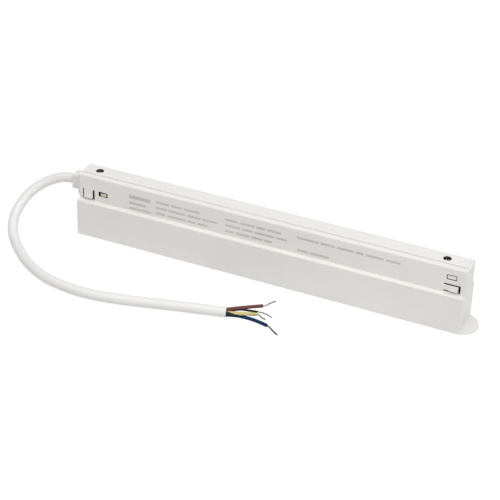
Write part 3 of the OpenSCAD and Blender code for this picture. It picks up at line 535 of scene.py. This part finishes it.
cable_route = from_relief(CABLE_POINTS, CABLE_DIAMETER / 2)
CABLE_STEPS = 180
CABLE_SIDES = 32
cable_path = smooth(cable_route, CABLE_STEPS)
cable_rings = cut_tube(
    cable_path, CABLE_DIAMETER / 2 * MM, SHEATH_WALL * MM, SHEATH_RECESS * MM, CABLE_SIDES
)
filler_face = CABLE_SIDES * (len(cable_rings) - 1) + 1
cable = piece(
    "cable_sheath", [skin(cable_rings)], [sheath_plastic, filler_and_shade_plastic],
    lambda index: 1 if index == filler_face else 0,
)
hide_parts("mains_cable")

# Cores leave the end of the sheath a quarter turn apart, the live core near the top
sheath_end = cable_route[-1]
sheath_along = (sheath_end - cable_route[-2]).normalized()
sheath_across = Vector((0, 0, 1)).cross(sheath_along)
CORE_STEPS = 40
CORE_SIDES = 30
CORE_WALL_SHARE = 0.4
CORE_RECESS = 0.3


def core_route(quarter, points):
    """Route of a core whose place in the sheath lies the given quarter turns from the first."""
    turn = math.radians(CORE_LEAN + 90 * quarter)
    aside = math.sin(turn) * sheath_across + math.cos(turn) * Vector((0, 0, 1))
    start = sheath_end + CORE_RING * MM * aside
    outside = from_relief(points, CORE_DIAMETER / 2)
    inside = start - SHEATH_RECESS * MM * (outside[0] - start).normalized()
    return [inside, start, *outside]


def core(name, node, route, diameter, materials, chosen=None):
    """An insulated core with a square-cut end."""
    path = smooth(route, CORE_STEPS)
    radius = diameter / 2 * MM
    rings = cut_tube(path, radius, CORE_WALL_SHARE * radius, CORE_RECESS * MM, CORE_SIDES)
    made = piece(name, [skin(rings)], materials, chosen)
    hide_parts(node)
    return made, path


STRIPE_WIDTH = 0.4
STRIPE_AT_SHEATH = -0.05
STRIPE_AT_END = 0.46
STRIPE_TURN_RINGS = 22


# The green stripe is the earth core's own colour, made very dark and turned to the front by the sheath as
# painted shade
def striped(index):
    """Green on a stripe that turns from the core's front at the sheath to its back, else yellow."""
    ring, side = divmod(index, CORE_SIDES)
    turned = min(ring / STRIPE_TURN_RINGS, 1)
    start = STRIPE_AT_SHEATH + (STRIPE_AT_END - STRIPE_AT_SHEATH) * turned
    return 1 if (side / CORE_SIDES - start) % 1 < STRIPE_WIDTH else 0


live_core, live_path = core(
    "brown_core", "live_core", core_route(0, LIVE_POINTS), CORE_DIAMETER,
    [brown_plastic],
)
control_core, control_path = core(
    "black_core", "control_core", core_route(1, CONTROL_POINTS), CONTROL_DIAMETER,
    [black_plastic],
)
neutral_core, neutral_path = core(
    "blue_core", "neutral_core", core_route(2, NEUTRAL_POINTS), CORE_DIAMETER,
    [blue_plastic],
)
earth_core, earth_path = core(
    "striped_core", "earth_core", core_route(3, EARTH_POINTS), CORE_DIAMETER,
    [yellow_plastic, green_and_shade_plastic], striped,
)

# Bare strands: thin wires that start inside their core and fan out a little
WIRE_RADIUS = 0.18
GOLDEN_TURN = math.radians(137.5)
WIRE_STEPS = 14
WIRE_SIDES = 6
WIRE_TWIST = 1.6


def wires(core_path, points, count, reach, flare):
    """Thin tubes along a bundle's route, each on its own turn and with its own flare and length."""
    start = Vector(core_path[-1])
    along = Vector(directions(core_path)[-1])
    inside = start - CORE_RECESS * MM * along
    outside = start + 2 * reach * MM * along
    centre = smooth([inside, outside, *from_relief(points, reach)], WIRE_STEPS)
    one, two = sides_of(centre)
    share = np.linspace(0, 1, len(centre))
    made = []
    for k in range(count):
        aside = reach * MM * math.sqrt((k + 0.5) / count)
        turns = k * GOLDEN_TURN + WIRE_TWIST * share
        own_flare = flare * (0.4 + 0.6 * ((k * 0.37) % 1))
        spread_out = aside * (1 + own_flare * share ** 2)
        first = (spread_out * np.cos(turns))[:, None] * one
        second = (spread_out * np.sin(turns))[:, None] * two
        path = centre + first + second
        path[:, 2] = np.maximum(path[:, 2], WIRE_RADIUS * MM)
        keep = len(path) - k % 3
        made.append(skin(tube_rings(path[:keep], [WIRE_RADIUS * MM] * keep, WIRE_SIDES)))
    return made


def strands(name, node, parts, material):
    """All the bare wires of one core."""
    made = piece(name, parts, [material])
    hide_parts(node)
    return made


live_wires = strands(
    "brown_strands", "live_strands", wires(live_path, LIVE_STRANDS, 10, 0.5, 0.3), wire_painted_light
)
control_wires = strands(
    "black_strands", "control_strands", wires(control_path, CONTROL_STRANDS, 7, 0.34, 0.3), tinned_wire
)
neutral_wires = strands(
    "blue_strands", "neutral_strands", wires(neutral_path, NEUTRAL_STRANDS, 10, 0.48, 0.2), wire_painted_shade
)
earth_wires = strands(
    "striped_strands", "earth_strands", wires(earth_path, EARTH_STRANDS, 8, 0.38, 0.3), tinned_wire
)

# Print: rows of plain grey bars on the upper housing's front wall, in millimetres
FRONT_WALL = -9.5
INK_DEPTH = 0.03
BAR_BLOCKS = [
    {"left": -112, "top": 44, "heights": (2.8, 1.8, 1.4), "rows": ((18,), (14,), (18,))},
    {"left": -89.4, "top": 44.4, "heights": (1.8, 1.8, 1.8), "rows": (
        (11, 9, 12.8), (9, 14, 11, 12.2), (8, 15, 6.8, 8.4),
    )},
    {"left": -32, "top": 44.8, "heights": (1.8, 1.8, 1.8), "rows": (
        (10, 12, 7, 11.2), (12, 9, 15, 9.2), (7, 11, 9, 6.2),
    )},
    {"left": 25.5, "top": 45, "heights": (1.8,), "rows": ((17, 11, 13, 6, 14, 11),)},
    {"left": 26, "top": 34.5, "heights": (1.8,), "rows": ((9, 14.6),)},
]
WORD_GAP = 1.6
ROW_GAP = 3


def bar(left, right, bottom, top):
    """Vertices and faces of one thin bar on the front wall, with chamfered edges."""
    chamfer = INK_DEPTH
    outer = [(left, bottom), (right, bottom), (right, top), (left, top)]
    inner = [
        (left + chamfer, bottom + chamfer), (right - chamfer, bottom + chamfer),
        (right - chamfer, top - chamfer), (left + chamfer, top - chamfer),
    ]
    rings = [
        np.array([(x * MM, (FRONT_WALL - depth) * MM, z * MM) for x, z in corners])
        for corners, depth in ((outer, 0), (inner, INK_DEPTH))
    ]
    return skin(rings)


bars = []
for block in BAR_BLOCKS:
    top = block["top"]
    for height, words in zip(block["heights"], block["rows"]):
        left = block["left"]
        for length in words:
            bars.append(bar(left, left + length, top - height, top))
            left += length + WORD_GAP
        top -= height + ROW_GAP
print_bars = piece("print_bars", bars, [print_ink])
for polygon in print_bars.data.polygons:
    polygon.use_smooth = False


# Floor and light

def mix_by_sight(tree, seen, lit):
    """Shows one shader to the camera, mirrors and glass, and the other to scattered light."""
    path = tree.nodes.new("ShaderNodeLightPath")
    either = path.outputs["Is Camera Ray"]
    for other in ("Is Glossy Ray", "Is Transmission Ray"):
        most = tree.nodes.new("ShaderNodeMath")
        most.operation = "MAXIMUM"
        tree.links.new(either, most.inputs[0])
        tree.links.new(path.outputs[other], most.inputs[1])
        either = most.outputs["Value"]
    mix = tree.nodes.new("ShaderNodeMixShader")
    tree.links.new(either, mix.inputs["Fac"])
    tree.links.new(lit, mix.inputs[1])
    tree.links.new(seen, mix.inputs[2])
    return mix.outputs["Shader"]


WORLD_LIGHT = 0.36
FLOOR_ALBEDO = 0.8
FLOOR_SHADOW_SHARE = 0.25
FLOOR_GLOW = 0.84
FAR_GLOW = 1.0
FLOOR_FADE = (0.5, 1.6)
FLOOR_SIZE = 6.0


def studio_floor():
    """Pale floor that keeps a soft shadow and turns as white as the background further out."""
    material = bpy.data.materials.new("studio_floor")
    material.use_nodes = True
    tree = material.node_tree
    tree.nodes.clear()
    lit = tree.nodes.new("ShaderNodeBsdfDiffuse")
    lit.inputs["Color"].default_value = (FLOOR_ALBEDO,) * 3 + (1,)
    shade = tree.nodes.new("ShaderNodeBsdfDiffuse")
    shade.inputs["Color"].default_value = (FLOOR_SHADOW_SHARE,) * 3 + (1,)
    glow = tree.nodes.new("ShaderNodeEmission")
    distance = tree.nodes.new("ShaderNodeVectorMath")
    distance.operation = "LENGTH"
    tree.links.new(tree.nodes.new("ShaderNodeTexCoord").outputs["Object"], distance.inputs[0])
    fade = tree.nodes.new("ShaderNodeMapRange")
    fade.inputs["From Min"].default_value, fade.inputs["From Max"].default_value = FLOOR_FADE
    fade.inputs["To Min"].default_value = FLOOR_GLOW
    fade.inputs["To Max"].default_value = FAR_GLOW
    tree.links.new(distance.outputs["Value"], fade.inputs["Value"])
    tree.links.new(fade.outputs["Result"], glow.inputs["Strength"])
    both = tree.nodes.new("ShaderNodeAddShader")
    tree.links.new(shade.outputs["BSDF"], both.inputs[0])
    tree.links.new(glow.outputs["Emission"], both.inputs[1])
    output = tree.nodes.new("ShaderNodeOutputMaterial")
    surface = mix_by_sight(tree, both.outputs["Shader"], lit.outputs["BSDF"])
    tree.links.new(surface, output.inputs["Surface"])
    mesh = bpy.data.meshes.new("studio_floor")
    half = FLOOR_SIZE / 2
    mesh.from_pydata(
        [(-half, -half, 0), (half, -half, 0), (half, half, 0), (-half, half, 0)], [], [(0, 1, 2, 3)]
    )
    mesh.materials.append(material)
    ground = bpy.data.objects.new("studio_floor", mesh)
    ground.location.z = -0.05 * MM
    scene.collection.objects.link(ground)


def studio_world():
    """Even light from all round, seen as white."""
    world = bpy.data.worlds.new("studio_world")
    world.use_nodes = True
    tree = world.node_tree
    tree.nodes.clear()
    lit = tree.nodes.new("ShaderNodeBackground")
    lit.inputs["Strength"].default_value = WORLD_LIGHT
    seen = tree.nodes.new("ShaderNodeBackground")
    seen.inputs["Strength"].default_value = 1
    for background in (lit, seen):
        background.inputs["Color"].default_value = (1, 1, 1, 1)
    output = tree.nodes.new("ShaderNodeOutputWorld")
    surface = mix_by_sight(tree, seen.outputs["Background"], lit.outputs["Background"])
    tree.links.new(surface, output.inputs["Surface"])
    scene.world = world


def softbox(name, place, size, power):
    """Square area lamp that faces the object: its place and size in metres, its power in watts."""
    data = bpy.data.lights.new(name, "AREA")
    data.shape = "SQUARE"
    data.size = size
    data.energy = power
    lamp = bpy.data.objects.new(name, data)
    lamp.location = place
    lamp.rotation_euler = (-Vector(place)).to_track_quat("-Z", "Y").to_euler()
    scene.collection.objects.link(lamp)


studio_floor()
studio_world()
softbox("top_softbox", (-0.1, -0.25, 1.5), 1.2, 10.6)
softbox("side_softbox", (1.2, -0.5, 1.2), 1.0, 8.6)
softbox("front_softbox", (0.3, -1.3, 1.1), 1.0, 2.6)
scene.view_settings.view_transform = "Standard"
